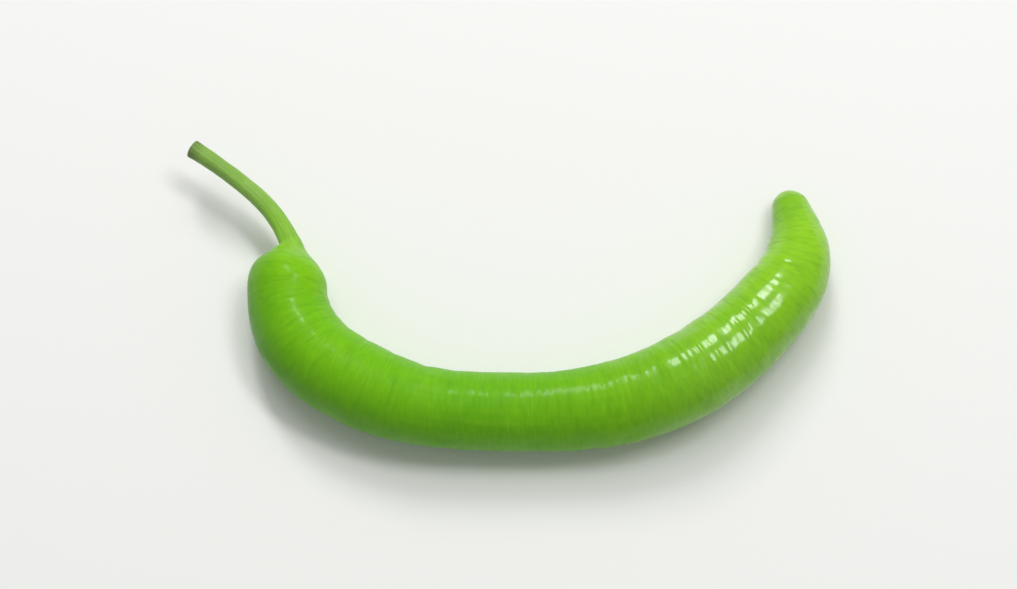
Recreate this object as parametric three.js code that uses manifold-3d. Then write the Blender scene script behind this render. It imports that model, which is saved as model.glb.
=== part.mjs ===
// A fresh green chilli pepper, as picked, lying on its side on a flat surface.
// Three pieces that grew together and can be told apart: the pod, the calyx that caps it, and the cut stem.
// Millimetres, +Z up. The pod bends in the plane it lies on, both ends towards +Y, with the stem at -X and
// the tip at +X. The origin is on the surface, under the middle of the pepper's outline.
import * as THREE from "three";
import { mergeVertices } from "three/addons/utils/BufferGeometryUtils.js";
import Module from "manifold-3d";

// ---- Driving dimensions: the pod

const POD_LENGTH = 161.5; // along its middle, from the top of the shoulders to the tip
// [distance from the top of the shoulders, radius there]: full shoulders, a slight waist, a bulge in the
// second bend, and a blunt tip.
const POD_GIRTH = [
  [0, 8.8],
  [9, 8.7],
  [21, 9.3],
  [34, 9.2],
  [48, 8.7],
  [70, 8.4],
  [92, 9.1],
  [108, 9.5],
  [122, 9.0],
  [136, 8.5],
  [146, 7.1],
  [153, 5.4],
  [POD_LENGTH, 3.1],
];
const SHOULDER_DOME = 8; // length over which the shoulders round off to the calyx
const SHOULDER_POWER = 2.6; // 2 is an ellipse, and more is squarer
const TIP_DOME = 3; // length over which the tip rounds off
const TIP_POWER = 2;
const POD_HEADING = -94; // degrees in plan, from +X, as the pod leaves the calyx
// [starts at, ends at, turns by degrees]: overlapping bends add up to the pod's hook.
const POD_BENDS = [
  [0, 35, 59],
  [18, 70, 33.5],
  [56, 157, 58],
  [131, 158, 44],
];
const RESTS = [14, 82, 146]; // where along its length the pod lies on the surface
const BOW = 0.6; // how far it arches clear of the surface between two rests
const PRESS = 0.2; // how far its skin is pressed flat at a rest

// ---- Driving dimensions: the calyx and the stem

const STEM_HEADING = 86; // degrees in plan, straight up out of the shoulders
// The stem kinks as it leaves the calyx, and swings over in a longer bend.
const STEM_BENDS = [
  [0, 3, 30],
  [0, 20, 26],
  [14, 32, 5],
];
const STEM_LENGTH = 32; // from the top of the shoulders to the cut end
const STEM_RISE = 3.5; // how far the cut end stands above the stem's foot
const CALYX_TOP = 2.4; // where the calyx hands over to the stem
// [distance up the stem, radius there]: thick at the foot, slim, then swollen at the cut.
const STEM_GIRTH = [
  [CALYX_TOP, 2.25],
  [8, 2.02],
  [18, 1.88],
  [27, 1.9],
  [STEM_LENGTH, 2.08],
];
const CUT_BEVEL = 0.35; // rounding of the cut end's edge
const STEM_RIDGES = { count: 5, height: 0.05 }; // as a share of the radius
const CALYX_RIM = { radius: 6.5, below: 1.4, thickness: 0.55 };
const CALYX_TEETH = { count: 5, reach: 0.07 }; // as a share of the rim's radius

const GAP = 0.3; // between pieces that touch

// ---- Fineness of the faceted solids

const POD_SIDES = 24;
const POD_RINGS = 68;
const STEM_SIDES = 15;
const STEM_RINGS = 24;
const CALYX_SIDES = 30;
const DOME_RINGS = 6;
const PATH_STEP = 0.25;

const skin = new THREE.MeshStandardMaterial({ color: 0x6cb81c, roughness: 0.28, metalness: 0 });
const capGreen = new THREE.MeshStandardMaterial({ color: 0x7fb833, roughness: 0.5, metalness: 0 });
const stemGreen = new THREE.MeshStandardMaterial({ color: 0x86b250, roughness: 0.6, metalness: 0 });

// ---- Curves

// A turn that starts and ends without a jerk: 0 before a, 1 after b.
const ease = (x, a, b) => THREE.MathUtils.smootherstep(x, a, b);

// A value read off stations [[x, value], ...] by a cubic that passes smoothly through them.
function reading(stations) {
  const slope = (i) => {
    const a = stations[Math.max(i - 1, 0)];
    const b = stations[Math.min(i + 1, stations.length - 1)];
    return (b[1] - a[1]) / (b[0] - a[0]);
  };
  return (x) => {
    const after = stations.findIndex(([at]) => at > x);
    const i = after < 0 ? stations.length - 2 : Math.max(after - 1, 0);
    const [[x0, v0], [x1, v1]] = [stations[i], stations[i + 1]];
    const span = x1 - x0;
    const t = THREE.MathUtils.clamp((x - x0) / span, 0, 1);
    const bend = (1 - t) * (v0 - v1 + slope(i) * span) + t * (v1 - v0 - slope(i + 1) * span);
    return v0 + t * (v1 - v0) + t * (1 - t) * bend;
  };
}

// A path in plan, walked from a start point in short steps along a heading that its bends turn, with its
// height given by a function of the distance walked. Before 0 it runs straight back.
class Path {
  constructor({ from, heading, bends, length, height }) {
    this.height = height;
    this.headingAt = (s) =>
      THREE.MathUtils.degToRad(bends.reduce((sum, [a, b, turn]) => sum + turn * ease(s, a, b), heading));
    this.points = [from.clone()];
    for (let s = 0; s < length; s += PATH_STEP) {
      const h = this.headingAt(s + PATH_STEP / 2);
      const step = new THREE.Vector2(Math.cos(h), Math.sin(h)).multiplyScalar(PATH_STEP);
      this.points.push(step.add(this.points.at(-1)));
    }
  }

  // The point at distance s in plan, and the direction to the path's right-hand side.
  at(s) {
    const h = this.headingAt(s);
    const ahead = new THREE.Vector2(Math.cos(h), Math.sin(h));
    const i = THREE.MathUtils.clamp(Math.floor(s / PATH_STEP), 0, this.points.length - 2);
    const spot = this.points[i].clone().addScaledVector(ahead, s - i * PATH_STEP);
    return { spot, right: new THREE.Vector2(ahead.y, -ahead.x) };
  }
}

// ---- Making a piece

// Turns a profile of [radius, distance] round its axis, then carries it along a path: a point at distance s
// goes to the path's point there, sideways by its x and up by its z. reshape may change the turned point first.
function carried(profile, sides, path, reshape = (p) => p) {
  const points = profile.map(([radius, s]) => new THREE.Vector2(radius, s));
  const turned = new THREE.LatheGeometry(points, sides, Math.PI / sides);
  const position = turned.getAttribute("position");
  const p = new THREE.Vector3();
  for (let i = 0; i < position.count; i++) {
    reshape(p.fromBufferAttribute(position, i));
    const { spot, right } = path.at(p.y);
    const place = spot.addScaledVector(right, p.x);
    position.setXYZ(i, place.x, place.y, path.height(p.y) + p.z);
  }
  turned.deleteAttribute("normal");
  turned.deleteAttribute("uv");
  return mergeVertices(turned, 1e-4);
}

// Flattens what would lie below the surface onto it.
function pressedFlat(geometry) {
  const position = geometry.getAttribute("position");
  for (let i = 0; i < position.count; i++) position.setZ(i, Math.max(position.getZ(i), 0));
  return geometry;
}

// Distances that crowd together towards the two rounded ends of a body from 0 to length.
function domedDistances(length, firstDome, lastDome, rings) {
  const start = Array.from({ length: DOME_RINGS }, (_, i) =>
    firstDome * (1 - Math.cos(((i / DOME_RINGS) * Math.PI) / 2)));
  const middle = Array.from({ length: rings + 1 }, (_, i) =>
    THREE.MathUtils.lerp(firstDome, length - lastDome, i / rings));
  const end = Array.from({ length: DOME_RINGS }, (_, i) =>
    length - lastDome * (1 - Math.sin((((i + 1) / DOME_RINGS) * Math.PI) / 2)));
  return [...start, ...middle, ...end];
}

// A rounded end: 0 at the pole, 1 once the dome is passed. The power says how square it is.
const dome = (distance, size, power) =>
  Math.max(0, 1 - Math.max(0, 1 - distance / size) ** power) ** (1 / power);

const girth = reading(POD_GIRTH);

// The pod's profile, grown outwards by an allowance where another piece has to clear it.
function podProfile(allowance = 0) {
  return domedDistances(POD_LENGTH, SHOULDER_DOME, TIP_DOME, POD_RINGS)
    .map((s) => {
      const shoulders = dome(s, SHOULDER_DOME, SHOULDER_POWER);
      const radius = girth(s) * shoulders * dome(POD_LENGTH - s, TIP_DOME, TIP_POWER);
      return [radius && radius + allowance, s];
    })
    .map(([radius, s], i, all) => [radius, s + (i === 0 ? -allowance : i === all.length - 1 ? allowance : 0)]);
}

// How far the pod arches clear of the surface at distance s.
function bow(s) {
  const i = RESTS.findIndex((rest, n) => s >= rest && s < RESTS[n + 1]);
  if (i < 0) return 0;
  return BOW * Math.sin((Math.PI * (s - RESTS[i])) / (RESTS[i + 1] - RESTS[i])) ** 2;
}

const podPath = new Path({
  from: new THREE.Vector2(0, 0),
  heading: POD_HEADING,
  bends: POD_BENDS,
  length: POD_LENGTH,
  height: (s) => girth(THREE.MathUtils.clamp(s, 0, POD_LENGTH)) - PRESS + bow(s),
});

const stemPath = new Path({
  from: new THREE.Vector2(0, 0),
  heading: STEM_HEADING,
  bends: STEM_BENDS,
  length: STEM_LENGTH,
  height: (s) => podPath.height(0) + STEM_RISE * ease(s, 0, STEM_LENGTH),
});

const podSolid = (allowance) => carried(podProfile(allowance), POD_SIDES, podPath);

function makePod() {
  return pressedFlat(podSolid(0));
}

// Five low ridges run up the stem, and die out where it meets the calyx and at the cut.
function ridged(p) {
  const share = Math.sin(Math.PI * THREE.MathUtils.clamp((p.y - CALYX_TOP) / (STEM_LENGTH - CALYX_TOP), 0, 1));
  const swell = 1 + STEM_RIDGES.height * share * Math.cos(STEM_RIDGES.count * Math.atan2(p.x, p.z));
  return p.set(p.x * swell, p.y, p.z * swell);
}

function makeStem() {
  const thickness = reading(STEM_GIRTH);
  const foot = CALYX_TOP + GAP;
  const side = Array.from({ length: STEM_RINGS + 1 }, (_, i) => {
    const s = THREE.MathUtils.lerp(foot, STEM_LENGTH - CUT_BEVEL, i / STEM_RINGS);
    return [thickness(s), s];
  });
  const cutEdge = [thickness(STEM_LENGTH) - CUT_BEVEL, STEM_LENGTH];
  return carried([[0, foot], ...side, cutEdge, [0, STEM_LENGTH]], STEM_SIDES, stemPath, ridged);
}

// The rim reaches further down the pod at each of five teeth.
function toothed(p) {
  const share = ease(Math.hypot(p.x, p.z), CALYX_RIM.radius / 2, CALYX_RIM.radius);
  const tooth = share * CALYX_TEETH.reach * Math.cos(CALYX_TEETH.count * Math.atan2(p.x, p.z));
  return p.set(p.x * (1 + tooth), p.y - tooth * CALYX_RIM.radius, p.z * (1 + tooth));
}

function solidOf(geometry, wasm) {
  return new wasm.Manifold(
    new wasm.Mesh({
      numProp: 3,
      vertProperties: geometry.getAttribute("position").array,
      triVerts: new Uint32Array(geometry.index.array),
    }),
  );
}

function geometryOf(solid) {
  const { vertProperties, triVerts } = solid.getMesh();
  return new THREE.BufferGeometry()
    .setAttribute("position", new THREE.BufferAttribute(vertProperties, 3))
    .setIndex(new THREE.BufferAttribute(triVerts, 1));
}

// A shallow cap that flares from the stem's foot to the rim. The shoulders are cut out of its underside,
// so that it sits on them whichever way it tilts.
async function makeCalyx() {
  const { radius, below, thickness } = CALYX_RIM;
  const foot = STEM_GIRTH[0][1];
  const profile = [
    [0, -below - thickness],
    [radius - thickness, -below - thickness],
    [radius, -below],
    [radius * 0.9, -below * 0.45],
    [radius * 0.72, below * 0.08],
    [radius * 0.54, below * 0.42],
    [foot * 1.18, CALYX_TOP * 0.68],
    [foot, CALYX_TOP],
    [0, CALYX_TOP],
  ];
  const wasm = await Module();
  wasm.setup();
  const blank = solidOf(carried(profile, CALYX_SIDES, stemPath, toothed), wasm);
  const cap = blank.subtract(solidOf(podSolid(GAP), wasm));
  const largest = cap.decompose().sort((a, b) => b.volume() - a.volume())[0];
  return geometryOf(largest);
}

function piece(name, geometry, material) {
  const mesh = new THREE.Mesh(geometry, material);
  mesh.name = name;
  return mesh;
}

const chilli = new THREE.Group();
chilli.add(piece("pod", makePod(), skin));
chilli.add(piece("calyx", await makeCalyx(), capGreen));
chilli.add(piece("stem", makeStem(), stemGreen));

const middle = new THREE.Box3().setFromObject(chilli).getCenter(new THREE.Vector3());
chilli.position.set(-middle.x, -middle.y, 0);

export default chilli;
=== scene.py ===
# %% [markdown]
# # A green chilli pepper, as picked
#
# A long green chilli lies on its side on a pale table. It has three pieces that grew together: the pod, the
# calyx (the green cap that the flower left on the fruit) and the stem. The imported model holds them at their
# real size as plain faceted solids, and this script makes each one again as it looks: waxy, wrinkled, ribbed.
#
# Everything is in metres in Blender, but a pepper is easier to think about in millimetres. So shapes are
# worked out in millimetres and become metres once, where a mesh is made.

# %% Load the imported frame
import math

import bpy
import numpy as np
from mathutils import Matrix, Vector


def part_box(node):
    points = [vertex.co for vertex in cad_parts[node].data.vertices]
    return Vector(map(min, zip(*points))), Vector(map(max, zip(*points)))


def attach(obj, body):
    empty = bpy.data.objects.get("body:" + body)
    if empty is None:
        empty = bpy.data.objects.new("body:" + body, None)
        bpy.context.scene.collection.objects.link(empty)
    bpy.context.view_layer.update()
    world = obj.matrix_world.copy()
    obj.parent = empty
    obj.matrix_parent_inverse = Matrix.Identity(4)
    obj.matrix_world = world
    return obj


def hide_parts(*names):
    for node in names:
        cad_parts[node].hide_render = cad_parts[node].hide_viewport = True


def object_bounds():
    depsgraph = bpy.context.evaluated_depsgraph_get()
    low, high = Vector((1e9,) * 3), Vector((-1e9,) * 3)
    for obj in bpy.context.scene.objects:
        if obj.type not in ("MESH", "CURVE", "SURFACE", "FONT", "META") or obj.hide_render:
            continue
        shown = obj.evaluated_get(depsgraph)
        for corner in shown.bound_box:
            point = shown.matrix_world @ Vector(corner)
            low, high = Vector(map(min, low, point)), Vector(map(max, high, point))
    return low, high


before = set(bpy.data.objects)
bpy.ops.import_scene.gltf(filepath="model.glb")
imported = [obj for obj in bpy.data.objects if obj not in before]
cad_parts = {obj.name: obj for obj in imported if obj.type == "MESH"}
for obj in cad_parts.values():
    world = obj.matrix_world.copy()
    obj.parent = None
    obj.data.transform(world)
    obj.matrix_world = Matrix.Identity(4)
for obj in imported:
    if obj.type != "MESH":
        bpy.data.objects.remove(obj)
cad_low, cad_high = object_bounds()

MM = 0.001
print("packed pieces:", ", ".join(sorted(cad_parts)))
print("packed box, mm:", [round((b - a) / MM, 1) for a, b in zip(cad_low, cad_high)])

# %% [markdown]
# ## Curves that grow
#
# Nothing on a fruit starts or stops with a jerk. Two small tools give that everywhere: an ease between two
# places, and a smooth reading through a few stations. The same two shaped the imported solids, which is what
# makes the surfaces here land on them.

# %% Ease, and a smooth reading of stations
def ease(x, a, b):
    """0 before a, 1 after b, and 6t^5 - 15t^4 + 10t^3 between them, with t = (x - a) / (b - a)."""
    t = np.clip((x - a) / (b - a), 0, 1)
    return t**3 * (t * (6 * t - 15) + 10)


def reading(stations, x):
    """A cubic through stations (place, value). Between two of them it is the straight line plus
    t(1 - t) times a blend of how much the slope at each end differs from that line."""
    place, value = np.array(stations, float).T
    before = np.maximum(np.arange(len(place)) - 1, 0)
    after = np.minimum(np.arange(len(place)) + 1, len(place) - 1)
    slope = (value[after] - value[before]) / (place[after] - place[before])
    i = np.clip(np.searchsorted(place, x, side="right") - 1, 0, len(place) - 2)
    span = place[i + 1] - place[i]
    rise = value[i + 1] - value[i]
    t = np.clip((x - place[i]) / span, 0, 1)
    bend = (1 - t) * (slope[i] * span - rise) + t * (rise - slope[i + 1] * span)
    return value[i] + t * rise + t * (1 - t) * bend


# %% [markdown]
# ## The middle line
#
# A pepper hooks because one side grew faster. Its middle line is a path walked at a steady pace while the
# heading turns, so the hook is said in a few bends: from here to there, turn by so much. The pod's path and
# the stem's path start at the same point, the top of the shoulders, and run away from each other.

# %% Paths
class Path:
    """In plan, the point at distance s is the running sum of (cos h, sin h), where the heading h(s) is the
    first heading plus each bend's turn times ease(s, its start, its end). Before 0 it runs straight back."""

    STEPS = 1200

    def __init__(self, heading, bends, length, height):
        self.s = np.linspace(0, length, self.STEPS + 1)
        turned = sum(turn * ease(self.s, start, end) for start, end, turn in bends)
        self.h = np.radians(heading + turned)
        step = self.s[1]
        middle = (self.h[1:] + self.h[:-1]) / 2
        self.x = np.concatenate([[0], np.cumsum(np.cos(middle) * step)])
        self.y = np.concatenate([[0], np.cumsum(np.sin(middle) * step)])
        self.height = height

    def carry(self, s, side, up):
        """The path's point at s, moved `side` to its right in plan and `up` from its height."""
        h = np.interp(s, self.s, self.h)
        beyond = s - np.clip(s, 0, self.s[-1])
        x = np.interp(s, self.s, self.x) + np.cos(h) * beyond + np.sin(h) * side
        y = np.interp(s, self.s, self.y) + np.sin(h) * beyond - np.cos(h) * side
        return np.stack(np.broadcast_arrays(x, y, self.height(s) + up), axis=-1)


# %% The pod's and the stem's measures
POD_LENGTH = 161.5
POD_GIRTH = [  # (distance along the pod, radius)
    (0, 8.8), (9, 8.7), (21, 9.3), (34, 9.2), (48, 8.7), (70, 8.4), (92, 9.1), (108, 9.5),
    (122, 9.0), (136, 8.5), (146, 7.1), (153, 5.4), (POD_LENGTH, 3.1),
]
POD_HEADING = -94
POD_BENDS = [(0, 35, 59), (18, 70, 33.5), (56, 157, 58), (131, 158, 44)]  # (from, to, degrees)
RESTS = [14, 82, 146]  # where the pod touches the table
BOW = 0.6  # how far it arches between them
PRESS = 0.2  # how far it is pressed flat on them
SHOULDER_DOME = 8.0
SHOULDER_POWER = 2.6
TIP_DOME = 3.0
TIP_POWER = 2.0

STEM_LENGTH = 32.0
STEM_RISE = 3.5
STEM_HEADING = 86
STEM_BENDS = [(0, 3, 30), (0, 20, 26), (14, 32, 5)]


def girth(s):
    """The pod's radius away from its rounded ends."""
    return reading(POD_GIRTH, np.clip(s, 0, POD_LENGTH))


def pod_height(s):
    """The middle line's height: the radius less the press, plus a low arch between two rests."""
    arch = sum(
        np.where((s >= a) & (s < b), np.sin(np.pi * (s - a) / (b - a)) ** 2, 0)
        for a, b in zip(RESTS, RESTS[1:])
    )
    return girth(s) - PRESS + BOW * arch


def stem_height(s):
    """The stem leaves at the pod's height and rises evenly to its cut end."""
    return pod_height(np.zeros(1))[0] + STEM_RISE * ease(s, 0, STEM_LENGTH)


pod_path = Path(POD_HEADING, POD_BENDS, POD_LENGTH, pod_height)
stem_path = Path(STEM_HEADING, STEM_BENDS, STEM_LENGTH, stem_height)
print("the pod's heading turns from", POD_HEADING, "to", round(float(np.degrees(pod_path.h[-1]))), "degrees")

# %% [markdown]
# ## Placing the paths in the frame
#
# The paths start at zero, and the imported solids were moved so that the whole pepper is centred. A plain pod
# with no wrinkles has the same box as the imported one, so the difference between the two boxes is the move.

# %% Find the move
def dome(distance, size, power):
    """A rounded end: 0 at the pole, then (1 - (1 - distance / size)^p)^(1 / p), and 1 past size. A power p
    of 2 is an ellipse, and more is squarer."""
    left = np.clip(1 - distance / size, 0, 1)
    return np.clip(1 - left**power, 0, 1) ** (1 / power)


def plain_radius(s):
    """The girth, rounded off over the shoulders and over the tip."""
    return girth(s) * dome(s, SHOULDER_DOME, SHOULDER_POWER) * dome(POD_LENGTH - s, TIP_DOME, TIP_POWER)


def around(count):
    """Angles round a section, as a row: 0 is straight up and a quarter turn is to the path's right."""
    return np.arange(count)[None, :] * (2 * np.pi / count)


END_RINGS = 16
END_REACH = 0.8


def along_pod(rings):
    """Distances along the pod as a column: even steps, but over the last reach at each pole the steps grow
    from nothing as the power 2.5 of their number."""
    end = END_REACH * (np.arange(END_RINGS) / END_RINGS) ** 2.5
    even = np.linspace(END_REACH, POD_LENGTH - END_REACH, rings - 2 * END_RINGS)
    return np.concatenate([end, even, POD_LENGTH - end[::-1]])[:, None]


PACKED_SIDES = 24
s = along_pod(400)
facet_corners = around(PACKED_SIDES) + np.pi / PACKED_SIDES
r = plain_radius(s)
plain = pod_path.carry(s, r * np.sin(facet_corners), r * np.cos(facet_corners)).reshape(-1, 3)
plain_middle = (plain.min(axis=0) + plain.max(axis=0)) / 2
packed_low, packed_high = (np.array(corner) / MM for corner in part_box("pod"))
MOVE = (packed_low + packed_high) / 2 - plain_middle
MOVE[2] = 0
plain_size = plain.max(axis=0) - plain.min(axis=0)
print("move, mm:", MOVE.round(2), " size differs by, mm:", (packed_high - packed_low - plain_size).round(2))

# %% [markdown]
# ## Randomness that grows on the skin
#
# Wrinkles, dimples and blotches are random but smooth, and they have a direction: a wrinkle is short along
# the pod and long round it. A lattice of random numbers gives that, if its cells are short one way and wide
# the other, and if its columns wrap round so that no seam shows.

# %% A smooth random field
WANDER_SEED, FINE_SEED, COARSE_SEED, PATCH_SEED, RIPPLE_SEED = 11, 12, 13, 14, 15
SWELL_SEED, PINCH_SEED = 21, 22
KNOB_SEED, NICK_SEED, CUT_SEED = 31, 32, 33
LATTICE_MARGIN = 12  # mm of lattice before the start and after the end


def clumps(s, phi, cell, arcs, seed):
    """From -1 to 1. A lattice of seeded random numbers has a row every `cell` mm of s and `arcs` columns
    round the section, each row turned by its own random angle. The value is the blend of the four nearest
    by 3t^2 - 2t^3."""
    rng = np.random.default_rng(seed)
    margin = LATTICE_MARGIN
    rows = int((POD_LENGTH + 2 * margin) / cell) + 3
    lattice = rng.uniform(-1, 1, (rows, arcs))
    row_turn = rng.uniform(0, arcs, rows)
    u, v = np.broadcast_arrays((s + margin) / cell, phi * arcs / (2 * np.pi))
    i = np.clip(np.floor(u).astype(int), 0, rows - 2)
    blend = np.clip(u - i, 0, 1)
    blend = blend * blend * (3 - 2 * blend)

    def row_value(row):
        turned = v + row_turn[row]
        j = np.floor(turned).astype(int)
        t = turned - j
        t = t * t * (3 - 2 * t)
        return lattice[row, j % arcs] * (1 - t) + lattice[row, (j + 1) % arcs] * t

    return row_value(i) * (1 - blend) + row_value(i + 1) * blend


# %% [markdown]
# ## The pod's skin
#
# Close to, a chilli's pod is far from a smooth tube. Three faint lobes run down it from the shoulders, where
# its three chambers are. It swells and pinches every centimetre or two. Above all its skin is crossed by
# fine wrinkles, short and broken, that chop a reflection into dashes. On the inside of a bend the skin is
# crowded and folds a little.
#
# A noise texture could fake all of it as bump. But the outline and the reflections of a glossy body give a
# fake away, so the relief is in the mesh: one radius for each distance s and angle phi, as a sum of terms.

# %% Wrinkles and swells
RIPPLE_PITCH, RIPPLE_DEPTH = 1.45, 0.012
FINE_WRINKLE, FINE_ARCS, FINE_DEPTH = 0.9, 17, 0.058
COARSE_WRINKLE, COARSE_ARCS, COARSE_DEPTH = 2.3, 12, 0.12
WANDER, SWAY = 0.9, 0.35
ARM = (62, 100, 138, 152)  # where the arm's strong wrinkles begin, are full, weaken and end
SWELL_DEPTH, PINCH_DEPTH = 0.2, 0.09


def window(s, rise_from, rise_to, fall_from, fall_to):
    """Rises from 0 to 1, stays, and falls back."""
    return ease(s, rise_from, rise_to) * (1 - ease(s, fall_from, fall_to))


def wrinkles(s, phi):
    """Cross wrinkles, in mm, read at a place that wanders by up to a millimetre. Clumps of two sizes, short
    along s and wide round the section, make most of them. Under those lie faint ripples that follow
    sin(2 pi s / pitch) in patches. All are strongest on the arm that leads to the tip."""
    wander = WANDER * clumps(s, phi, 7, 5, WANDER_SEED) + SWAY * np.sin(2 * phi + s / 9)
    place = s + wander
    rippled = 0.55 + 0.45 * clumps(s, phi, 3.5, 9, RIPPLE_SEED)
    ripples = RIPPLE_DEPTH * rippled * np.sin(2 * np.pi * place / RIPPLE_PITCH)
    fine = FINE_DEPTH * clumps(place, phi, FINE_WRINKLE, FINE_ARCS, FINE_SEED)
    coarse = COARSE_DEPTH * clumps(place, phi, COARSE_WRINKLE, COARSE_ARCS, COARSE_SEED)
    patches = 0.72 + 0.28 * clumps(s, phi, 11, 4, PATCH_SEED)
    strength = 0.55 + 0.45 * window(s, *ARM)
    fade = window(s, 3, 9, POD_LENGTH - 12, POD_LENGTH - 3)
    return (ripples + fine + coarse) * patches * strength * fade


def swells(s, phi):
    """Slow swelling and pinching, in mm, from two scales of clumps."""
    fade = window(s, 0, 10, POD_LENGTH - 8, POD_LENGTH)
    swell = SWELL_DEPTH * clumps(s, phi, 13, 3, SWELL_SEED)
    pinch = PINCH_DEPTH * clumps(s, phi, 5.5, 5, PINCH_SEED)
    return (swell + pinch) * fade


# %% Shoulders, lobes and creases
INSIDE_OF_BEND = -np.pi / 2
OUTER_SHOULDER_POWER, INNER_SHOULDER_POWER = 2.2, 1.9
CHAMBERS = 3
LOBE_TURN = -0.52
LOBE_TWIST = 1 / 130  # radians for each mm
CREASES = [  # (place along the pod, width, depth)
    (33.5, 1.3, 0.16), (41.0, 1.0, 0.12), (49.5, 1.6, 0.28), (57.0, 1.1, 0.1),
    (131.0, 1.2, 0.12), (138.5, 1.5, 0.2), (144.5, 1.0, 0.12),
]


def shouldered(s, phi):
    """The girth, rounded off at both ends. The shoulders' power swings with a cosine of the angle from the
    inner power to the outer, so the outer shoulder is a little the squarer."""
    middle = (OUTER_SHOULDER_POWER + INNER_SHOULDER_POWER) / 2
    swing = (OUTER_SHOULDER_POWER - INNER_SHOULDER_POWER) / 2
    power = middle - swing * np.cos(phi - INSIDE_OF_BEND)
    return girth(s) * dome(s, SHOULDER_DOME, power) * dome(POD_LENGTH - s, TIP_DOME, TIP_POWER)


def lobes(s, phi):
    """One faint lobe for each chamber, as a share of the radius: a cosine of as many times the angle, which
    twists slowly and is deepest by the shoulders."""
    twist = LOBE_TURN + LOBE_TWIST * s
    depth = 0.006 + 0.016 * (1 - ease(s, 2, 38))
    return depth * np.cos(CHAMBERS * (phi - twist)) * window(s, 0, 4, 120, POD_LENGTH)


def creases(s, phi):
    """Folds on the inside of the bends, in mm. Each is a dip shaped exp(-((s - place) / width)^2), deepest
    on the inside and gone by the sides."""
    inside = np.clip(np.cos(phi - INSIDE_OF_BEND), 0, 1) ** 2
    leaning = s + 0.8 * np.cos(phi)
    dips = sum(depth * np.exp(-(((leaning - place) / width) ** 2)) for place, width, depth in CREASES)
    return -inside * dips


# %% The calyx's seat
CALYX_SEAT = 0.08
RIM_DOWN, RIM_LEAN = 2.1, 0.9
TEETH, TOOTH_TURN, TOOTH_LENGTH, MEAN_TOOTH = 5, 0.35, 0.5, 0.35


def rim_down(phi):
    """How far down the shoulders the calyx's rim lies, in mm: further on the inside of the hook, and further
    at each tooth, whose shape is the square of a raised cosine."""
    tooth = ((1 + np.cos(TEETH * (phi + TOOTH_TURN))) / 2) ** 2
    return RIM_DOWN + RIM_LEAN * np.cos(phi - INSIDE_OF_BEND) + TOOTH_LENGTH * (tooth - MEAN_TOOTH)


def seat(s, phi):
    """The shallow ledge that the calyx lies in, in mm: sunk over the top, full again just past the rim."""
    down = rim_down(phi)
    return -CALYX_SEAT * (1 - ease(s, down - 0.3, down + 1.5))


# %% The whole skin, as one function
SKIN_INSET = 0.984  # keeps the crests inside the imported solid's box
TABLE_SOFTNESS = 0.15


def pod_radius(s, phi):
    """The plain radius, times the lobes, plus every relief in mm, all brought in by the inset."""
    r = shouldered(s, phi)
    relief = (swells(s, phi) + wrinkles(s, phi) + creases(s, phi) + seat(s, phi)) * np.clip(r / 4, 0, 1)
    return (r * (1 + lobes(s, phi)) + relief) * SKIN_INSET


def on_table(points):
    """Presses a body onto the table: z becomes (z + sqrt(z^2 + k^2)) / 2, where k is the softness, which
    never goes below 0."""
    z = points[..., 2]
    points[..., 2] = (z + np.sqrt(z**2 + TABLE_SOFTNESS**2)) / 2
    return points


def pod_point(s, phi, out=0.0):
    """A point of the pod's skin, or `out` mm above it."""
    r = pod_radius(s, phi) + out
    return on_table(pod_path.carry(s, r * np.sin(phi), r * np.cos(phi)) + MOVE)


s = np.linspace(8, POD_LENGTH - 8, 6)[:, None]
print("radii along the pod, mm:", pod_radius(s, np.zeros((1, 1))).ravel().round(2))

# %% [markdown]
# ## From a grid of points to a closed mesh
#
# Each piece is a stack of rings. Neighbouring rings are joined by four-sided faces, and a fan of triangles
# closes each end to a single point, its pole. Each point also keeps where it would be if the piece were
# straight: that is the coordinate its colours follow, so a pattern bends with the pepper and has no seam.

# %% Rings to mesh
def body_from_rings(name, rings, poles, fields):
    """Joins ring i to ring i + 1 with quads and each pole to its end ring, facing outwards. `rings` is
    (n, m, 3) in mm, `poles` holds the two end points, and `fields` gives each point more numbers."""
    n, m, _ = rings.shape
    points = np.concatenate([rings.reshape(-1, 3), np.array(poles)]) * MM
    here = np.arange(m)
    after = (here + 1) % m
    start = (np.arange(n - 1) * m)[:, None]
    quads = np.stack([start + here, start + after, start + m + after, start + m + here], axis=-1)
    first, last = n * m, n * m + 1
    end = (n - 1) * m
    cap = np.stack([np.full(m, first), after, here], axis=-1)
    toe = np.stack([np.full(m, last), end + here, end + after], axis=-1)

    mesh = bpy.data.meshes.new(name)
    mesh.from_pydata(points, [], quads.reshape(-1, 4).tolist() + cap.tolist() + toe.tolist())
    for field, values in fields.items():
        values = np.asarray(values, dtype=np.float32)
        vector = values.shape[-1] == 3
        layer = mesh.attributes.new(field, "FLOAT_VECTOR" if vector else "FLOAT", "POINT")
        layer.data.foreach_set("vector" if vector else "value", values.ravel())
    mesh.shade_smooth()
    mesh.validate()

    piece = bpy.data.objects.new(name, mesh)
    bpy.context.collection.objects.link(piece)
    size = (points.max(axis=0) - points.min(axis=0)) / MM
    print(f"{name}: {len(mesh.polygons)} faces, {size.round(1)} mm")
    return piece


def with_poles(ring_values, pole_values):
    """A field's values in the order of the mesh's points: the rings, then the two poles."""
    flat = ring_values.reshape(-1, ring_values.shape[-1])
    return np.concatenate([flat, np.array(pole_values, dtype=float)])


def straightened(distance, phi, r):
    """Where a point would be on a straight piece, in mm: (r sin phi, r cos phi, distance)."""
    return np.stack(np.broadcast_arrays(r * np.sin(phi), r * np.cos(phi), distance), axis=-1)


# %% Make the pod
POD_RINGS = 820
POD_SIDES = 112
RELIEF_RANGE = 0.12  # mm of height that the relief field counts as 1

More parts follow.
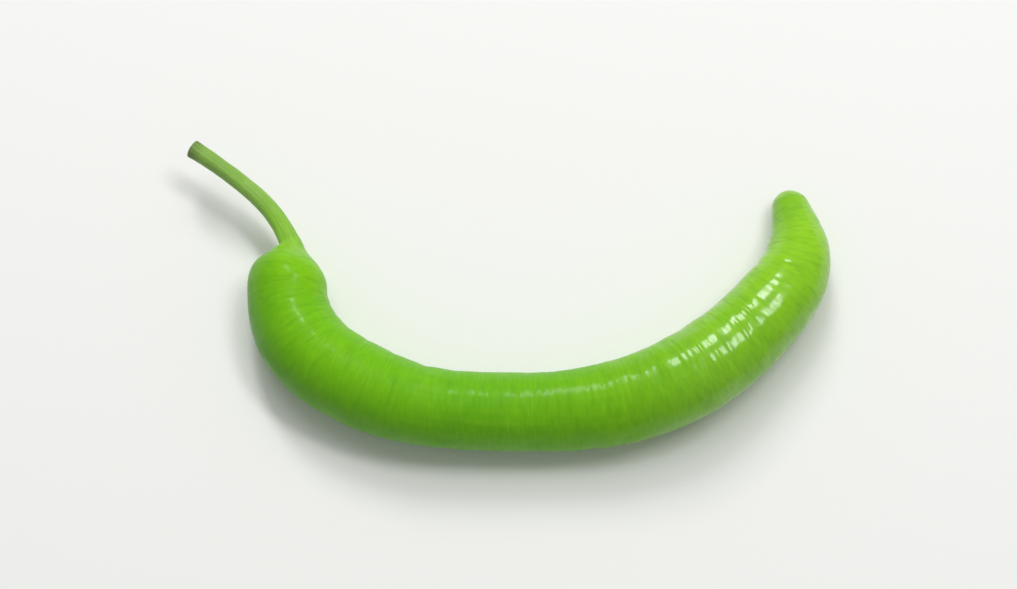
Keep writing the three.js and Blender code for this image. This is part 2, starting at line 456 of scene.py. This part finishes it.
s = along_pod(POD_RINGS + 2)
phi = around(POD_SIDES)
pole_points = [pod_point(s[i, 0], 0.0) for i in (0, -1)]
s = s[1:-1]

height_of_skin = wrinkles(s, phi) + 0.5 * creases(s, phi)
pod = body_from_rings(
    "pod_skin",
    pod_point(s, phi),
    pole_points,
    {
        "straight": with_poles(straightened(s, phi, plain_radius(s)), [(0, 0, 0), (0, 0, POD_LENGTH)]),
        "relief": with_poles(height_of_skin[..., None] / RELIEF_RANGE, [(0,), (0,)]),
    },
)

# %% [markdown]
# ## The stem
#
# The stem is tougher than the fruit: five soft ridges run up it, and it is grooved finely between them. It
# swells at the end, where it was cut from the plant, and there it has started to dry: the cut face has
# shrunk in, and its edge has curled up round it. It is a stack of rings like the pod, and the last rings
# turn in over the edge and run down to the middle of the cut.

# %% The stem's shape
CALYX_TOP = 2.4
STEM_GIRTH = [(CALYX_TOP, 2.25), (8, 2.02), (18, 1.88), (27, 1.9), (STEM_LENGTH, 2.08)]
STEM_FOOT = 1.0  # its foot is hidden in the calyx
RIDGES = 5
RIDGE_TURN = 0.35
FLUTES = [(RIDGES, 0.035, 0.0), (13, 0.01, 1.3), (21, 0.005, 0.0)]  # (count, share of the radius, turn)
KNOB, NICK = 0.05, 0.02


def stem_radius(s, phi):
    """The stem's girth, times five soft ridges and finer grooves, each a cosine of its count times the
    angle, plus a few low knobs."""
    r = reading(STEM_GIRTH, np.clip(s, CALYX_TOP, STEM_LENGTH))
    angle = phi - RIDGE_TURN - s / 60
    fluted = sum(depth * np.cos(count * angle + turn) for count, depth, turn in FLUTES)
    knobs = KNOB * clumps(2 * s, phi, 6, 4, KNOB_SEED) + NICK * clumps(2 * s, phi, 2, 6, NICK_SEED)
    calm = 1 - 0.5 * ease(s, 24, STEM_LENGTH)
    return (r * (1 + fluted * calm) + knobs) * SKIN_INSET


# %% The stem's cut end
CUT_AT = STEM_LENGTH - 0.2
CUT_EDGE = 0.3
CUT_DEPTH = 0.35
CUT_ROUGHNESS = 0.06
EDGE_RINGS, DISH_RINGS = 6, 14


def cut_end(phi):
    """The rings over the cut: a quarter circle in over the edge, then a shallow dish to the middle."""
    edge = np.linspace(0, np.pi / 2, EDGE_RINGS + 1)[1:, None]
    rim = stem_radius(np.full((1, 1), CUT_AT - CUT_EDGE), phi)
    edge_r = rim - CUT_EDGE * (1 - np.cos(edge))
    edge_s = CUT_AT - CUT_EDGE * (1 - np.sin(edge)) + 0 * phi
    share = np.linspace(1, 0, DISH_RINGS + 2)[1:-1, None]
    dish_r = (rim - CUT_EDGE) * share
    rough = CUT_ROUGHNESS * clumps(share * 9, phi, 1, 11, CUT_SEED)
    dish_s = CUT_AT - CUT_DEPTH * ease(1 - share, 0, 0.45) + rough * ease(1 - share, 0, 0.3)
    return np.concatenate([edge_s, dish_s]), np.concatenate([edge_r, dish_r])


# %% Make the stem
STEM_RINGS = 300
STEM_SIDES = 96

phi = around(STEM_SIDES)
side_s = np.linspace(STEM_FOOT, CUT_AT - CUT_EDGE, STEM_RINGS)[:, None]
cut_s, cut_r = cut_end(phi)
stem_s = np.concatenate([side_s + 0 * phi, cut_s])
stem_r = np.concatenate([stem_radius(side_s, phi), cut_r])
stem_rings = stem_path.carry(stem_s, stem_r * np.sin(phi), stem_r * np.cos(phi)) + MOVE
middle_of_cut = CUT_AT - CUT_DEPTH
stem_poles = [stem_path.carry(d, 0.0, 0.0) + MOVE for d in (STEM_FOOT, middle_of_cut)]
on_cut = np.concatenate([0 * side_s + 0 * phi, np.linspace(0, 1, len(cut_s))[:, None] + 0 * phi])

stem = body_from_rings(
    "stem",
    stem_rings,
    stem_poles,
    {
        "straight": with_poles(
            straightened(stem_s, phi, stem_r), [(0, 0, STEM_FOOT), (0, 0, middle_of_cut)]
        ),
        "cut": with_poles(on_cut[..., None], [(0,), (1,)]),
    },
)

# %% [markdown]
# ## The calyx
#
# The calyx is what is left of the flower: a thin green cap that lies on the shoulders like a low cone round
# the stem's foot, ending in five blunt teeth with a shallow bay between each two. On a fresh chilli its rim
# is pressed almost flush into the shoulders. It could be sculpted, but it is simply the smooth passage from
# one surface to another. So it is made as a blend: near its rim it is the pod's own skin pushed out by its
# thickness, further up it is a cone that narrows onto the stem, and the one eases into the other. Its lip
# rolls under, and its underside is sunk a little into the skin, so no gap shows.

# %% The calyx's shape
RIM_THICKNESS = 0.08
CALYX_REACH = 3.6  # how far up the stem it runs before it has merged with it
CONE_FOOT = -1.0
CONE_FLARE, FLARE_SWING, FLARE_POWER = 2.9, 0.3, 2.8
CONE_TUCK = 0.15  # its top ends this far inside the stem's surface
RIB = 0.1


def phi_pod(phi):
    """The pod's path runs the other way, so its right is the stem's left."""
    return -phi


def calyx_point(t, phi):
    """From the rim at t = 0 to the stem at t = 1. The rim lies on the pod's skin, its thickness above it.
    From there it eases into a cone whose radius is the stem's plus flare (1 - t)^power, which flares wider
    on the outside of the hook than on the inside, and which the stem's ridges run down into as ribs."""
    down = rim_down(phi_pod(phi)) * (1 - t) ** 1.25
    on_shoulder = pod_point(down, phi_pod(phi), RIM_THICKNESS)
    up = CONE_FOOT + (CALYX_REACH - CONE_FOOT) * t
    flare = (CONE_FLARE - FLARE_SWING * np.sin(phi)) * (1 - t) ** FLARE_POWER
    tuck = CONE_TUCK * ease(t, 0.6, 1)
    rib = RIB * np.cos(RIDGES * (phi - RIDGE_TURN)) * window(t, 0.1, 0.35, 0.4, 0.7)
    r = stem_radius(np.clip(up, CALYX_TOP, None), phi) + flare - tuck + rib
    on_cone = stem_path.carry(up, r * np.sin(phi), r * np.cos(phi)) + MOVE
    merged = ease(t, 0, 0.42)[..., None]
    return on_shoulder * (1 - merged) + on_cone * merged


# %% The calyx's rings
CALYX_SIDES = 180
OUTER_RINGS, LIP_RINGS, UNDER_RINGS = 70, 7, 13
RIM_SUNK = 0.1  # how deep the underside lies in the skin
LIP_WIDTH = 0.1

phi = around(CALYX_SIDES)
rim = rim_down(phi_pod(phi))
outer_t = np.linspace(0, 1, OUTER_RINGS)[:, None] + 0 * phi
outer = calyx_point(outer_t, phi)
lip_turn = np.linspace(np.pi, 0, LIP_RINGS + 2)[1:-1, None]
lip_out = (RIM_THICKNESS - RIM_SUNK) / 2 + (RIM_THICKNESS + RIM_SUNK) / 2 * np.cos(lip_turn)
lip = pod_point(rim + LIP_WIDTH * np.sin(lip_turn), phi_pod(phi), lip_out)
under_share = np.linspace(0, 1, UNDER_RINGS + 1)[1:, None] ** 2
under = pod_point(under_share * rim, phi_pod(phi), -RIM_SUNK)
calyx_rings = np.concatenate([under, lip, outer])
calyx_poles = [pod_point(0.0, 0.0, -RIM_SUNK), stem_path.carry(CALYX_REACH, 0.0, 0.0) + MOVE]


# %% Make the calyx
def from_stem(points):
    """How a calyx point lies to the stem's foot, in mm: the straightened coordinate of the calyx."""
    foot = stem_path.carry(0.0, 0.0, 0.0) + MOVE
    ahead = np.array([np.cos(stem_path.h[0]), np.sin(stem_path.h[0]), 0])
    side = np.array([ahead[1], -ahead[0], 0])
    offset = points - foot
    return np.stack([offset @ side, offset[..., 2], offset @ ahead], axis=-1)


below = np.ones((UNDER_RINGS + LIP_RINGS, CALYX_SIDES))
rim_share = np.concatenate([below, 1 - ease(outer_t, 0, 0.3)])
calyx = body_from_rings(
    "calyx",
    calyx_rings,
    calyx_poles,
    {
        "straight": with_poles(from_stem(calyx_rings), from_stem(np.array(calyx_poles))),
        "rim": with_poles(rim_share[..., None], [(1,), (0,)]),
    },
)

# %% [markdown]
# ## Effects that several materials share
#
# Skin, calyx and stem are all plant tissue, so three effects serve all of them, each with its own values:
# cloudy blotches, grain drawn out along one direction, and pores. Each is a node group, made once.

# %% Node helpers
def give(tree, socket, value):
    """Links another socket to this one, or sets this one's value."""
    if isinstance(value, bpy.types.NodeSocket):
        tree.links.new(value, socket)
    else:
        socket.default_value = value


def add(tree, kind, x, y, **settings):
    """Adds a node. A setting with a socket's name goes to that socket, and any other to the node."""
    node = tree.nodes.new(kind)
    node.location = (x * 190, y * 170)
    for name, value in settings.items():
        if name in node.inputs:
            give(tree, node.inputs[name], value)
        else:
            setattr(node, name, value)
    return node


def new_group(name, inputs, outputs):
    """An empty node group with its sockets: (name, kind, default) for each input, (name, kind) for each
    output."""
    tree = bpy.data.node_groups.new(name, "ShaderNodeTree")
    for label, kind, default in inputs:
        socket = tree.interface.new_socket(name=label, in_out="INPUT", socket_type=kind)
        if default is not None:
            socket.default_value = default
    for label, kind in outputs:
        tree.interface.new_socket(name=label, in_out="OUTPUT", socket_type=kind)
    source = tree.nodes.new("NodeGroupInput")
    source.location = (-600, 0)
    sink = tree.nodes.new("NodeGroupOutput")
    sink.location = (900, 0)
    return tree, source.outputs, sink.inputs


# %% Blotches
def make_blotches():
    """Cloudy patches from 0 to 1: layered noise, its range from Low to High stretched to the whole."""
    tree, given, result = new_group(
        "blotches",
        [("Vector", "NodeSocketVector", None), ("Scale", "NodeSocketFloat", 0.1),
         ("Low", "NodeSocketFloat", 0.35), ("High", "NodeSocketFloat", 0.65)],
        [("Mask", "NodeSocketFloat")],
    )
    noise = add(tree, "ShaderNodeTexNoise", -1, 0, Vector=given["Vector"], Scale=given["Scale"], Detail=3.0)
    stretched = add(tree, "ShaderNodeMapRange", 1, 0, Value=noise.outputs["Fac"])
    stretched.interpolation_type = "SMOOTHSTEP"
    tree.links.new(given["Low"], stretched.inputs["From Min"])
    tree.links.new(given["High"], stretched.inputs["From Max"])
    tree.links.new(stretched.outputs["Result"], result["Mask"])
    return tree


# %% Grain
def make_grain():
    """Noise on a coordinate that is squeezed differently along its three axes, so that it draws out."""
    tree, given, result = new_group(
        "grain",
        [("Vector", "NodeSocketVector", None), ("Squeeze", "NodeSocketVector", (1, 1, 1)),
         ("Detail", "NodeSocketFloat", 2.0)],
        [("Height", "NodeSocketFloat")],
    )
    squeezed = add(tree, "ShaderNodeVectorMath", -1, 0, operation="MULTIPLY")
    tree.links.new(given["Vector"], squeezed.inputs[0])
    tree.links.new(given["Squeeze"], squeezed.inputs[1])
    noise = add(tree, "ShaderNodeTexNoise", 1, 0, Vector=squeezed.outputs[0], Scale=1.0)
    tree.links.new(given["Detail"], noise.inputs["Detail"])
    tree.links.new(noise.outputs["Fac"], result["Height"])
    return tree


# %% Pores
def make_pores():
    """Round dots, 1 in the middle of each: the distance to the nearest of scattered points, cut off."""
    tree, given, result = new_group(
        "pores",
        [("Vector", "NodeSocketVector", None), ("Scale", "NodeSocketFloat", 1.0),
         ("Size", "NodeSocketFloat", 0.2)],
        [("Mask", "NodeSocketFloat")],
    )
    cells = add(tree, "ShaderNodeTexVoronoi", -1, 0, Vector=given["Vector"], Scale=given["Scale"])
    dot = add(tree, "ShaderNodeMapRange", 1, 0, Value=cells.outputs["Distance"])
    dot.interpolation_type = "SMOOTHSTEP"
    tree.links.new(given["Size"], dot.inputs["From Max"])
    dot.inputs["To Min"].default_value = 1.0
    dot.inputs["To Max"].default_value = 0.0
    tree.links.new(dot.outputs["Result"], result["Mask"])
    return tree


BLOTCHES, GRAIN, PORES = make_blotches(), make_grain(), make_pores()
print("shared effects:", [g.name for g in (BLOTCHES, GRAIN, PORES)])

# %% Placing effects and fields in a material
def effect(tree, group, x, y, **values):
    """Places a shared effect in a material, with its own values."""
    node = tree.nodes.new("ShaderNodeGroup")
    node.node_tree = group
    node.location = (x * 190, y * 170)
    for name, value in values.items():
        give(tree, node.inputs[name], value)
    return node.outputs[0]


def field(tree, name, x, y):
    """Reads one of the mesh's own fields."""
    node = tree.nodes.new("ShaderNodeAttribute")
    node.attribute_name = name
    node.location = (x * 190, y * 170)
    return node


# %% Laying colours over one another
def times(tree, a, b, x, y):
    """The product of two values."""
    node = add(tree, "ShaderNodeMath", x, y, operation="MULTIPLY")
    give(tree, node.inputs[0], a)
    give(tree, node.inputs[1], b)
    return node.outputs[0]


def blend(tree, mask, under, over, x, y, strength=1.0):
    """Lays a colour over another where a mask says, up to a strength."""
    mix = tree.nodes.new("ShaderNodeMix")
    mix.data_type = "RGBA"
    mix.location = (x * 190, y * 170)
    give(tree, mix.inputs["Factor"], times(tree, mask, strength, x - 1, y))
    for socket, colour in ((mix.inputs[6], under), (mix.inputs[7], over)):
        give(tree, socket, (*colour, 1) if isinstance(colour, tuple) else colour)
    return mix.outputs[2]


def layered(tree, colour, layers, x, y):
    """Lays colours one over another, in order. Each layer is (mask, colour, strength)."""
    for n, (mask, over, strength) in enumerate(layers):
        colour = blend(tree, mask, colour, over, x + 2 * n, y, strength)
    return colour


# %% Spreading a value, bumps and gradients
def spread(tree, value, low, high, x, y, start=0.0, end=1.0):
    """Maps a value from start..end to low..high, held to that range."""
    node = add(tree, "ShaderNodeMapRange", x, y, Value=value)
    node.inputs["From Min"].default_value = start
    node.inputs["From Max"].default_value = end
    node.inputs["To Min"].default_value = low
    node.inputs["To Max"].default_value = high
    return node.outputs["Result"]


def bumps(tree, layers, x, y):
    """One bump on top of another: each layer is (height, depth in metres)."""
    normal = None
    for n, (height, depth) in enumerate(layers):
        node = add(tree, "ShaderNodeBump", x + n, y, Height=height, Distance=depth)
        if normal is not None:
            tree.links.new(normal, node.inputs["Normal"])
        normal = node.outputs["Normal"]
    return normal


def gradient(tree, value, stops, x, y):
    """Colours along a value from 0 to 1."""
    ramp = tree.nodes.new("ShaderNodeValToRGB")
    ramp.location = (x * 190, y * 170)
    ramp.color_ramp.interpolation = "EASE"
    while len(ramp.color_ramp.elements) < len(stops):
        ramp.color_ramp.elements.new(0.5)
    for element, (place, colour) in zip(ramp.color_ramp.elements, stops):
        element.position = place
        element.color = (*colour, 1)
    tree.links.new(value, ramp.inputs[0])
    return ramp.outputs["Color"]


# %% A new material, and where it is on the straightened piece
def new_material(name, settings):
    """A material, and the plain values of its shader's own sockets."""
    material = bpy.data.materials.new(name)
    material.use_nodes = True
    shader = material.node_tree.nodes["Principled BSDF"]
    for socket, value in settings.items():
        shader.inputs[socket].default_value = value
    return material, material.node_tree, shader


def straightened_place(tree):
    """The coordinate of the straightened piece, in mm, and its parts: across, up and along."""
    straight = field(tree, "straight", -9, 0).outputs["Vector"]
    parts = add(tree, "ShaderNodeSeparateXYZ", -8, 2, Vector=straight).outputs
    return straight, parts["X"], parts["Y"], parts["Z"]


# %% [markdown]
# ## The skin's green
#
# The skin is a clear wax over living green, and the green is never one colour. It changes along the pod:
# fresh on the shoulders, deep through the bend and the belly, and almost yellow towards the tip. The outer
# side of the first bend, by the stem, is darker with painted shade. Pale veins run lengthwise under the
# skin, broad and fine bands cross it, the low places between wrinkles are darker with painted shade, and
# tiny pores dot it. At the very tip is a brown scar, where the flower dropped off.
#
# One picture wrapped round the pod could hold all that, but it would stretch in the bends. Here each thing
# that can be named is a mask of its own, read from the straightened coordinate, and the colours are laid one
# over another. Colours are linear red, green and blue; scales and squeezes are per millimetre.

# %% The green, layer by layer
SKIN_GREENS = [
    (0.0, (0.25, 0.58, 0.006)),  # shoulders
    (0.14, (0.165, 0.48, 0.003)),  # first bend
    (0.45, (0.125, 0.41, 0.004)),  # belly
    (0.7, (0.195, 0.48, 0.004)),  # arm
    (0.95, (0.27, 0.58, 0.005)),  # tip
    (1.0, (0.22, 0.5, 0.008)),
]
GREEN_WANDER = 0.09  # how far the clouds shift the gradient, as a share of the pod
SCAR = (0.3, 0.08)  # mm before the end, where the scar starts and where it is full


def skin_green(tree, straight, across, along, share, fine_bands, pores):
    """The gradient along the pod, then each mask's colour over it."""
    clouds = effect(tree, BLOTCHES, -8, 4, Vector=straight, Scale=0.05)
    shift = add(tree, "ShaderNodeMath", -6, 3, operation="MULTIPLY_ADD")
    for socket, value in zip(shift.inputs, (clouds, GREEN_WANDER, share)):
        give(tree, socket, value)
    green = gradient(tree, shift.outputs[0], SKIN_GREENS, -5, 3)

    blotch = effect(tree, BLOTCHES, -5, 1, Vector=straight, Scale=0.11)
    veins = effect(tree, GRAIN, -5, 0, Vector=straight, Squeeze=(0.9, 0.9, 0.05), Detail=2.0)
    bands = effect(tree, GRAIN, -5, -1, Vector=straight, Squeeze=(0.17, 0.17, 1.0), Detail=3.0)
    relief = field(tree, "relief", -9, -3).outputs["Fac"]
    outer_side = spread(tree, across, 0.0, 1.0, -6, 5, 1.0, 8.5)
    near_stem = spread(tree, share, 1.0, 0.0, -6, 6, 0.12, 0.42)
    scar = spread(tree, along, 0.0, 1.0, 1, 2, POD_LENGTH - SCAR[0], POD_LENGTH - SCAR[1])
    pale_veins = spread(tree, veins, 0.0, 1.0, -4, 0, 0.5, 0.72)
    dark_bands = spread(tree, bands, 0.0, 1.0, -4, -1, 0.5, 0.75)
    dark_streaks = spread(tree, fine_bands, 0.0, 1.0, -4, -7, 0.48, 0.72)
    pale_streaks = spread(tree, fine_bands, 1.0, 0.0, -4, -8, 0.3, 0.46)
    # Painted shade: the outer side of the first bend, near the stem, is darkened.
    painted_shade_side = times(tree, outer_side, near_stem, -5, 5)
    # Painted shade: the low places of the relief, between wrinkles and in the creases, are darkened.
    painted_low_shade = spread(tree, relief, 1.0, 0.0, -4, -3, -1.0, 0.2)
    layers = [
        (blotch, (0.19, 0.5, 0.006), 0.3),
        (pale_veins, (0.24, 0.55, 0.018), 0.2),
        (dark_bands, (0.085, 0.31, 0.005), 0.3),
        (dark_streaks, (0.09, 0.33, 0.004), 0.3),
        (pale_streaks, (0.24, 0.57, 0.012), 0.22),
        # painted shade on the outer side near the stem
        (painted_shade_side, (0.06, 0.24, 0.006), 0.6),
        (pores, (0.3, 0.6, 0.03), 0.2),
        # painted shade in the low places of the relief
        (painted_low_shade, (0.085, 0.31, 0.006), 0.2),
        (scar, (0.2, 0.19, 0.05), 0.7),
    ]
    return layered(tree, green, layers, -3, 3)


# %% [markdown]
# ## The skin's wax
#
# The wax makes a sharp reflection over the flesh's soft one, so the shader has a coat over a duller base. It
# is thicker in some patches than in others. It is full on the arm and held back from the shoulders to the
# belly, a choice that keeps an unbroken line of light off that half. Fine bands, cells and pores roughen it
# as bump, because they are finer than the mesh. A little sheen stands for the bloom that pales the skin at
# its edges. Some of the light goes into the flesh and comes out again beside where it entered, mostly as
# green.

# %% Skin
DULLEST = 0.22  # the shoulders' share of the arm's polish
SKIN_SETTINGS = {
    "Coat Roughness": 0.17,
    "Coat IOR": 1.55,
    "Specular IOR Level": 0.1,
    "Sheen Weight": 0.12,
    "Sheen Roughness": 0.4,
    "Subsurface Weight": 0.22,
    "Subsurface Radius": (0.5, 1.0, 0.15),
    "Subsurface Scale": 0.0018,
}


def make_skin():
    """The waxy skin: the layered green, patches of wax, a polish that grows towards the arm, and bumps."""
    material, tree, shader = new_material("green_waxy_skin", SKIN_SETTINGS)
    straight, across, _, along = straightened_place(tree)
    share = spread(tree, along, 0.0, 1.0, -7, 2, end=POD_LENGTH)
    fine_bands = effect(tree, GRAIN, -5, -7, Vector=straight, Squeeze=(0.4, 0.4, 2.2), Detail=3.0)
    pores = effect(tree, PORES, -5, -2, Vector=straight, Scale=1.3, Size=0.22)
    green = skin_green(tree, straight, across, along, share, fine_bands, pores)
    tree.links.new(green, shader.inputs["Base Color"])

    wax = effect(tree, BLOTCHES, -5, -5, Vector=straight, Scale=0.28)
    tree.links.new(spread(tree, wax, 0.4, 0.55, -3, -5), shader.inputs["Roughness"])
    polish = spread(tree, share, DULLEST, 1.0, -3, -7, 0.56, 0.68)
    coat = times(tree, spread(tree, wax, 0.8, 0.5, -3, -6), polish, -2, -6)
    tree.links.new(coat, shader.inputs["Coat Weight"])

    cells = effect(tree, GRAIN, -5, -8, Vector=straight, Squeeze=(5.0, 5.0, 5.0), Detail=2.0)
    normal = bumps(tree, [(fine_bands, 0.00004), (cells, 0.000008), (pores, 0.00001)], -2, -7)
    tree.links.new(normal, shader.inputs["Normal"])
    return material


# %% [markdown]
# ## The stem's finish
#
# The stem is fibrous and has no thick wax: its green is greyer, with fibres drawn out lengthwise and brown
# flecks. It greys towards the cut, and the cut itself is dry: a tan face of two mottled tones inside a
# darker ring.

# %% Stem
STEM_GREENS = [
    (0.0, (0.23, 0.52, 0.025)),
    (0.2, (0.235, 0.5, 0.035)),
    (0.5, (0.245, 0.46, 0.07)),
    (0.88, (0.215, 0.39, 0.07)),
    (0.985, (0.11, 0.15, 0.05)),  # drying beside the cut
]
CUT_RING = (0.12, 0.095, 0.05)
CUT_TANS = (0.3, 0.25, 0.13), (0.5, 0.46, 0.3)
STEM_SETTINGS = {
    "Specular IOR Level": 0.4,
    "Subsurface Weight": 0.12,
    "Subsurface Radius": (0.6, 1.0, 0.2),
    "Subsurface Scale": 0.0008,
}


def make_stem_finish():
    """Fibrous green along the stem, and the dry cut where the cut field is above 0."""
    material, tree, shader = new_material("fibrous_stem", STEM_SETTINGS)
    straight, _, _, along = straightened_place(tree)
    share = spread(tree, along, 0.0, 1.0, -7, 2, end=STEM_LENGTH)
    clouds = effect(tree, BLOTCHES, -6, 1, Vector=straight, Scale=0.3)
    fibres = effect(tree, GRAIN, -6, 0, Vector=straight, Squeeze=(2.2, 2.2, 0.14), Detail=3.0)
    flecks = effect(tree, PORES, -6, -2, Vector=straight, Scale=1.1, Size=0.16)
    pale_fibres = spread(tree, fibres, 0.0, 1.0, -5, 0, 0.5, 0.7)
    dark_fibres = spread(tree, fibres, 1.0, 0.0, -5, -1, 0.3, 0.5)
    layers = [
        (clouds, (0.2, 0.42, 0.04), 0.35),
        (pale_fibres, (0.38, 0.58, 0.15), 0.2),
        (dark_fibres, (0.14, 0.33, 0.03), 0.2),
        (flecks, (0.2, 0.17, 0.07), 0.35),
    ]
    green = layered(tree, gradient(tree, share, STEM_GREENS, -6, 2), layers, -4, 2)

    cut = field(tree, "cut", -9, -3).outputs["Fac"]
    dried = effect(tree, BLOTCHES, -6, -3, Vector=straight, Scale=1.2)
    tan = blend(tree, dried, *CUT_TANS, -4, -3)
    inside_ring = spread(tree, cut, 0.0, 1.0, -4, -4, 0.15, 0.4)
    dry = blend(tree, inside_ring, CUT_RING, tan, -3, -3)
    at_cut = spread(tree, cut, 0.0, 1.0, -4, -5, 0.02, 0.2)
    tree.links.new(blend(tree, at_cut, green, dry, 5, 2), shader.inputs["Base Color"])

    tree.links.new(spread(tree, clouds, 0.48, 0.62, -2, -5), shader.inputs["Roughness"])
    normal = bumps(tree, [(fibres, 0.00008), (dried, 0.00003)], -2, -7)
    tree.links.new(normal, shader.inputs["Normal"])
    return material


# %% [markdown]
# ## The calyx's finish
#
# The calyx has the stem's fibres but a fresher green. Near its rim it is so thin that the pod's colour comes
# through, and its very edge is a little browner.

# %% Calyx
CALYX_GREENS = (0.2, 0.48, 0.02), (0.24, 0.53, 0.025)
CALYX_SETTINGS = {
    "Specular IOR Level": 0.45,
    "Subsurface Weight": 0.18,
    "Subsurface Radius": (0.6, 1.0, 0.2),
    "Subsurface Scale": 0.0008,
}


def make_calyx_finish():
    """Cloudy fibrous green, turning to the pod's where the rim field is near 1."""
    material, tree, shader = new_material("calyx_green", CALYX_SETTINGS)
    straight = straightened_place(tree)[0]
    rim = field(tree, "rim", -9, -3).outputs["Fac"]
    clouds = effect(tree, BLOTCHES, -6, 1, Vector=straight, Scale=0.35)
    fibres = effect(tree, GRAIN, -6, 0, Vector=straight, Squeeze=(1.4, 1.4, 0.5), Detail=3.0)
    pale_fibres = spread(tree, fibres, 0.0, 1.0, -5, 0, 0.5, 0.72)
    dark_fibres = spread(tree, fibres, 1.0, 0.0, -5, -1, 0.3, 0.5)
    thin = spread(tree, rim, 0.0, 1.0, -5, -3, 0.2, 0.9)
    edge = spread(tree, rim, 0.0, 1.0, -5, -4, 0.97, 1.0)
    layers = [
        (pale_fibres, (0.34, 0.6, 0.08), 0.3),
        (dark_fibres, (0.14, 0.38, 0.015), 0.25),
        (thin, (0.19, 0.52, 0.008), 0.85),
        (edge, (0.2, 0.42, 0.02), 0.15),
    ]
    green = layered(tree, blend(tree, clouds, *CALYX_GREENS, -4, 2), layers, -2, 2)
    tree.links.new(green, shader.inputs["Base Color"])

    tree.links.new(spread(tree, clouds, 0.38, 0.52, -2, -5), shader.inputs["Roughness"])
    tree.links.new(bumps(tree, [(fibres, 0.0001)], -2, -7), shader.inputs["Normal"])
    return material


# %% Dress the pieces and put them on the frame
for piece, node, slot, finish in (
    (pod, "pod", "pod_skin", make_skin()),
    (calyx, "calyx", "calyx_green", make_calyx_finish()),
    (stem, "stem", "stem_green", make_stem_finish()),
):
    piece.data.materials.append(finish)
    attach(piece, "root")
    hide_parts(node)
    print(piece.name, "wears", finish.name, "and stands for", node)

# %% [markdown]
# ## The table and the light
#
# The pepper lies on a plain white table in an even white room, which pales the skin at its edges, where any
# glossy surface turns into a mirror. Over the middle of a shiny tube, though, a light shows as one line
# along it, and the wrinkles break that line into dashes. Such rows of dashes on the arm are what tells wax
# from paint. So two soft strips of light hang over the pepper, each stretched between two directions that
# the arm mirrors towards the camera, then turned a little, and each gives one row.
#
# The rest of the light is a broad soft fill. On its own it would lay a white patch over the whole belly, so
# it leaves no reflection, as behind a polarising filter.

# %% Table
TABLE_REACH = 2.5
TABLE_SETTINGS = {"Base Color": (0.86, 0.86, 0.84, 1), "Roughness": 0.7, "Specular IOR Level": 0.2}


def make_table():
    """One square face on the ground."""
    mesh = bpy.data.meshes.new("table")
    corners = [(-1, -1, 0), (1, -1, 0), (1, 1, 0), (-1, 1, 0)]
    mesh.from_pydata([[TABLE_REACH * value for value in corner] for corner in corners], [], [(0, 1, 2, 3)])
    mesh.materials.append(new_material("white_table", TABLE_SETTINGS)[0])
    table = bpy.data.objects.new("table", mesh)
    bpy.context.collection.objects.link(table)


make_table()

# %% Lights
MIDDLE = (cad_low + cad_high) / 2
LIGHT_DISTANCE = 1.3
ROOM_BRIGHTNESS = 0.34


def strip_light(name, first, last, width, power):
    """A lit strip, stretched from one direction to another as the pepper sees them, and facing it. Half its
    length is its distance times the tangent of half the angle between the directions."""
    first, last = (Vector(direction).normalized() for direction in (first, last))
    lamp = bpy.data.lights.new(name, "AREA")
    lamp.shape = "RECTANGLE"
    lamp.size = 2 * LIGHT_DISTANCE * math.tan(first.angle(last) / 2)
    lamp.size_y = width
    lamp.energy = power
    light = bpy.data.objects.new(name, lamp)
    bpy.context.collection.objects.link(light)
    back = (first + last).normalized()
    along = (last - first).normalized()
    light.matrix_world = Matrix((along, back.cross(along), back)).transposed().to_4x4()
    light.location = MIDDLE + back * LIGHT_DISTANCE
    print(name, "is", round(lamp.size, 2), "m long")
    return light


strip_light("near_strip", (0.25, 0.36, 0.9), (0.5, 0.08, 0.86), width=0.2, power=4.2)
strip_light("far_strip", (0.0, 0.56, 0.83), (-0.18, 0.78, 0.6), width=0.2, power=4.7)
fill = strip_light("polarised_fill", (-0.35, 0.45, 0.85), (0.35, 0.45, 0.85), width=0.9, power=6.5)
fill.visible_glossy = False

room = bpy.data.worlds.new("white_room")
room.use_nodes = True
room.node_tree.nodes["Background"].inputs["Color"].default_value = (1, 1, 1, 1)
room.node_tree.nodes["Background"].inputs["Strength"].default_value = ROOM_BRIGHTNESS
bpy.context.scene.world = room
bpy.context.scene.view_settings.view_transform = "Standard"

# %% [markdown]
# ## The camera
#
# The camera looks down on the hook, square on to it but for a slight tilt, through a long lens that keeps
# its proportions true.

# %% Camera
LENS = 85.0
SENSOR = 36.0
ELEVATION = math.radians(74)
SHARE_OF_WIDTH = 0.64  # how much of the picture's width the pepper fills

camera = bpy.data.objects.new("camera", bpy.data.cameras.new("camera"))
camera.data.lens = LENS
camera.data.sensor_width = SENSOR
bpy.context.collection.objects.link(camera)
distance = (cad_high.x - cad_low.x) / SHARE_OF_WIDTH * LENS / SENSOR
direction = Vector((0, -math.cos(ELEVATION), math.sin(ELEVATION)))
camera.location = MIDDLE + direction * distance
camera.rotation_mode = "QUATERNION"
camera.rotation_quaternion = direction.to_track_quat("Z", "Y")
bpy.context.scene.camera = camera
print("camera at", round(distance, 3), "m")
